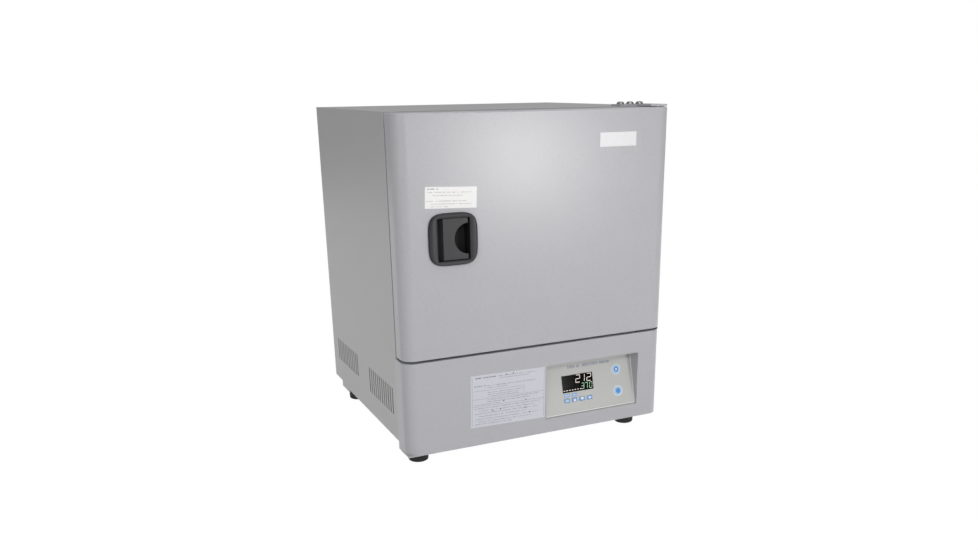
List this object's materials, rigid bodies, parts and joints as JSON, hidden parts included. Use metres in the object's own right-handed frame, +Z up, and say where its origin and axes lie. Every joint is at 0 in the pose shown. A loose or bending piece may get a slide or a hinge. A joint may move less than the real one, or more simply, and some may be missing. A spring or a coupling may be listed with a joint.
{
  "type": "laboratory incubator",
  "caption": "Bench-top heated incubator: painted steel cabinet with a hinged insulated door, an inner glass door, wire shelves, a circulating fan and a tilted control panel below.",
  "frame": {"origin": "middle of the bounding box's footprint, at the level the rubber feet rest on", "axes": "+Z up; the door and control panel face -Y; +X is to the right seen from the front, the side of the door's hinge"},
  "size_m": [0.48, 0.446, 0.571],
  "materials": {
    "door_paint": "light grey satin powder coat",
    "cabinet_paint": "light grey satin powder coat",
    "stainless": "brushed stainless steel",
    "zinc_steel": "bright zinc-plated steel",
    "dark_bolt": "black oxide",
    "heater_sheath": "heat-tinted steel",
    "black_plastic": "fine-grained moulded plastic",
    "foot_rubber": "matt black rubber",
    "silicone": "translucent white silicone",
    "bush_plastic": "white acetal",
    "mineral_wool": "mineral wool",
    "panel_film": "printed polyester film",
    "display_window": "smoked acrylic",
    "circuit_board": "solder mask",
    "blue_key": "blue keycap",
    "label_film": "printed label",
    "badge_metal": "satin anodised",
    "clear_glass": "toughened glass"
  },
  "bodies": {
    "cabinet": {"cabinet_shell": "cabinet_paint", "front_frame": "door_paint", "divider_plate": "zinc_steel", "rear_cover": "cabinet_paint", "rear_cover_screws": "zinc_steel", "base_tray": "cabinet_paint", "feet": "foot_rubber", "foot_screws": "zinc_steel", "inner_liner": "stainless", "cabinet_insulation": "mineral_wool", "shelf_racks": "stainless", "shelf_upper": "stainless", "shelf_lower": "stainless", "air_baffle": "stainless", "fan_motor": "zinc_steel", "air_heater": "heater_sheath", "temperature_probe": "stainless", "fascia": "door_paint", "control_bezel": "door_paint", "control_panel": "panel_film", "display_module": "display_window", "control_board": "circuit_board", "power_board": "circuit_board", "transformer": "zinc_steel", "mains_inlet": "black_plastic", "upper_hinge_plate": "zinc_steel", "hinge_bolts": "dark_bolt", "hinge_pins": "zinc_steel", "lower_hinge_bracket": "zinc_steel", "latch_keeper": "stainless", "glass_seal": "silicone", "glass_hinge_brackets": "stainless", "glass_hinge_pins": "zinc_steel", "catch_magnet": "black_plastic", "fascia_label": "label_film"},
    "fan": {"motor_shaft": "stainless", "fan_wheel": "zinc_steel"},
    "key_one": {"key_1": "blue_key"},
    "key_two": {"key_2": "blue_key"},
    "key_three": {"key_3": "blue_key"},
    "key_four": {"key_4": "blue_key"},
    "upper_button": {"ring_button": "blue_key"},
    "lower_button": {"power_button": "blue_key"},
    "door": {"door_skin": "door_paint", "door_inner_panel": "door_paint", "door_insulation": "mineral_wool", "door_seal": "silicone", "door_bushes": "bush_plastic", "handle_bezel": "black_plastic", "handle_pin": "zinc_steel", "handle_spring": "zinc_steel", "latch_plate": "zinc_steel", "door_label": "label_film", "badge_plate": "badge_metal"},
    "paddle": {"handle_paddle": "black_plastic"},
    "latch": {"latch_bolt": "stainless"},
    "glass_door": {"glass_pane": "clear_glass", "glass_clamps": "stainless", "glass_knob": "black_plastic"}
  },
  "joints": [
    {"name": "door_hinge", "type": "hinge", "parent": "cabinet", "child": "door", "pos_m": [0.231, -0.201, 0.377], "axis": [0, 0, 1], "range_deg": [0, 135], "deforming": ["latch_keeper"]},
    {"name": "glass_hinge", "type": "hinge", "parent": "cabinet", "child": "glass_door", "pos_m": [0.181, -0.1785, 0.374], "axis": [0, 0, 1], "range_deg": [0, 102]},
    {"name": "paddle_hinge", "type": "hinge", "parent": "door", "child": "paddle", "pos_m": [-0.1745, -0.208, 0.377], "axis": [0, 0, -1], "range_deg": [0, 30]},
    {"name": "latch_slide", "type": "slide", "parent": "door", "child": "latch", "axis": [1, 0, 0], "range_m": [0, 0.0076], "stiffness_N_per_m": 450, "springref_m": -0.0055},
    {"name": "key_one_press", "type": "slide", "parent": "cabinet", "child": "key_one", "axis": [0, 0.9728, -0.2316], "range_m": [0, 0.0008], "stiffness_N_per_m": 500, "springref_m": -0.001},
    {"name": "key_two_press", "type": "slide", "parent": "cabinet", "child": "key_two", "axis": [0, 0.9728, -0.2316], "range_m": [0, 0.0008], "stiffness_N_per_m": 500, "springref_m": -0.001},
    {"name": "key_three_press", "type": "slide", "parent": "cabinet", "child": "key_three", "axis": [0, 0.9728, -0.2316], "range_m": [0, 0.0008], "stiffness_N_per_m": 500, "springref_m": -0.001},
    {"name": "key_four_press", "type": "slide", "parent": "cabinet", "child": "key_four", "axis": [0, 0.9728, -0.2316], "range_m": [0, 0.0008], "stiffness_N_per_m": 500, "springref_m": -0.001},
    {"name": "upper_button_press", "type": "slide", "parent": "cabinet", "child": "upper_button", "axis": [0, 0.9728, -0.2316], "range_m": [0, 0.0008], "stiffness_N_per_m": 500, "springref_m": -0.001},
    {"name": "lower_button_press", "type": "slide", "parent": "cabinet", "child": "lower_button", "axis": [0, 0.9728, -0.2316], "range_m": [0, 0.0008], "stiffness_N_per_m": 500, "springref_m": -0.001},
    {"name": "fan_spin", "type": "hinge", "parent": "cabinet", "child": "fan", "pos_m": [0, 0.16, 0.374], "axis": [0, 1, 0], "continuous": true}
  ],
  "couplings": [
    {"joint": "glass_hinge", "follows": "door_hinge", "ratio": 0.75},
    {"joint": "paddle_hinge", "follows": "latch_slide", "rad_per_m": 68.89}
  ]
}
